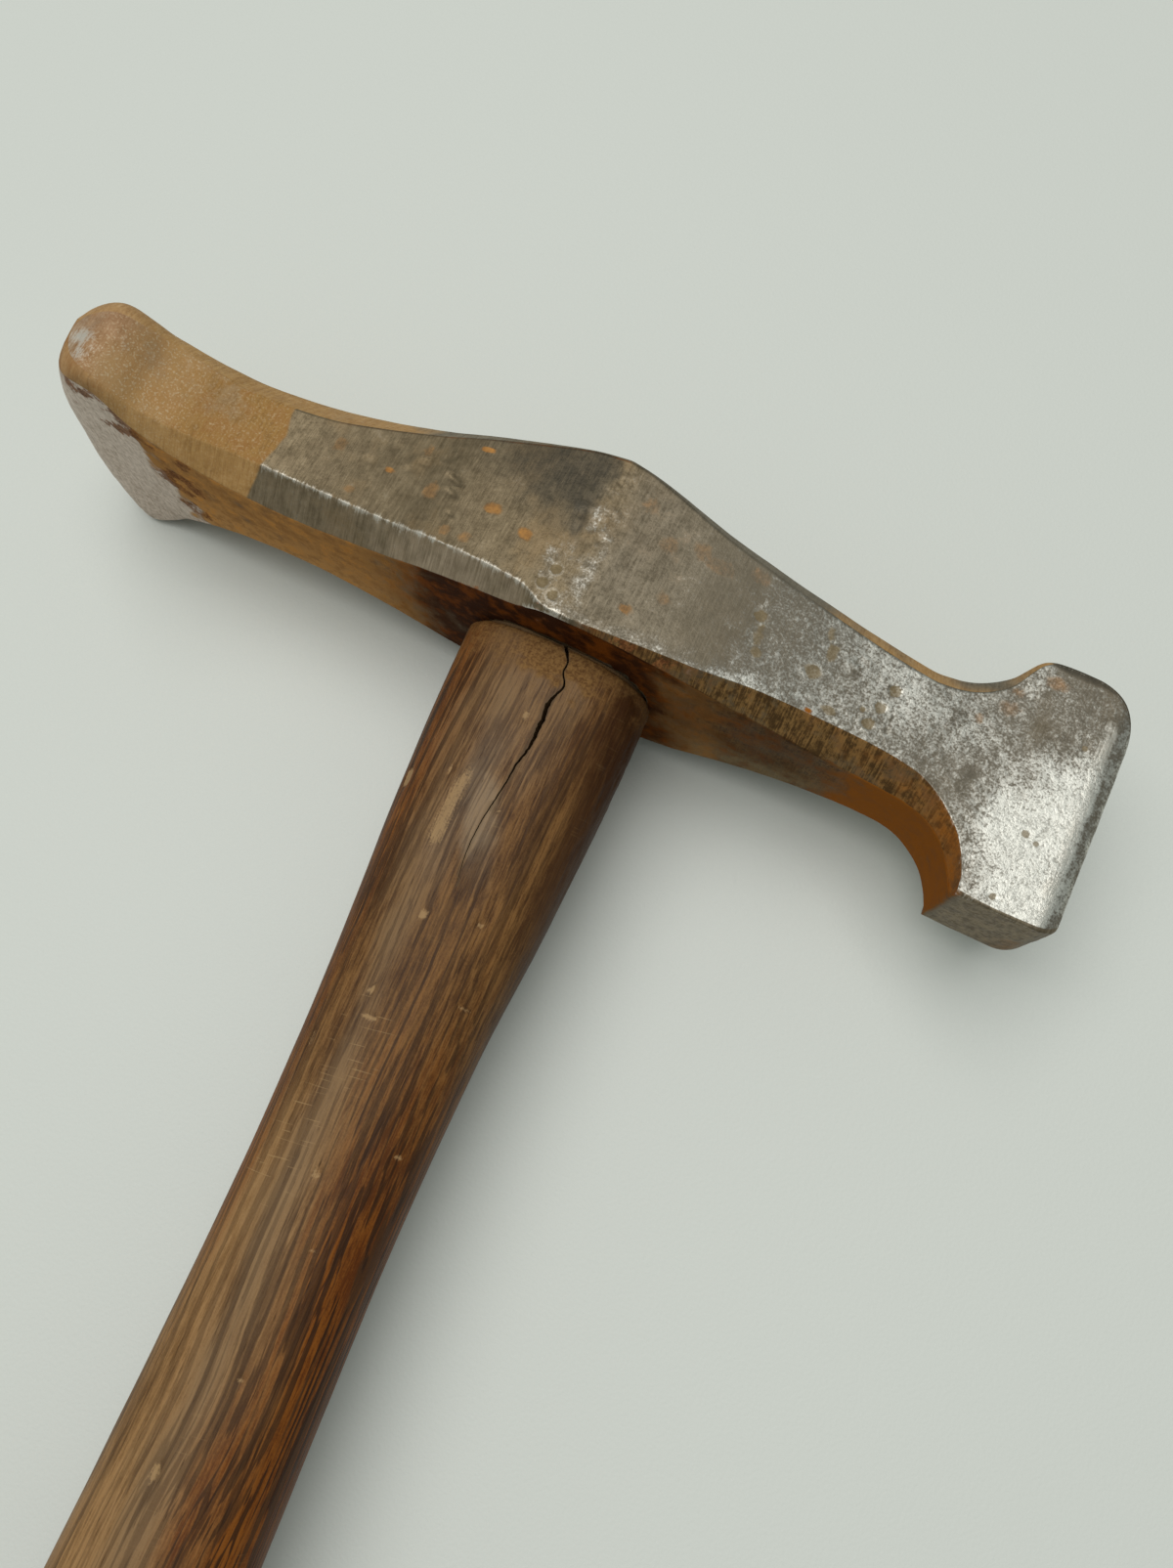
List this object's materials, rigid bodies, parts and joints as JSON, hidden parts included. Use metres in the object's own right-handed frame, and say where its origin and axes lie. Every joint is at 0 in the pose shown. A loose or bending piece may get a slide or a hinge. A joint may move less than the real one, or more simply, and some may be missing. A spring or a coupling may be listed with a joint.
{
  "type": "boilermaker hammer",
  "caption": "Long two-armed forging hammer with a flat rectangular face, a crowned cross peen and an oval wooden handle wedged in its eye.",
  "frame": {"origin": "middle of the striking face", "axes": "+X out of the striking face along the head, +Y toward the crest with the handle toward -Y, +Z across the cheeks, up as the hammer lies"},
  "size_m": [0.1977, 0.3464, 0.05],
  "materials": {
    "forged_steel": "worn dark forged steel with pitting, grind lines and ochre rust",
    "handle_wood": "dark open-grained wood, half polished by use",
    "wedge_wood": "raw end grain, darkened",
    "wedge_steel": "rusted black iron"
  },
  "bodies": {
    "root": {"head": "forged_steel", "handle": "handle_wood", "wood_wedge": "wedge_wood", "steel_wedge": "wedge_steel"}
  },
  "joints": []
}
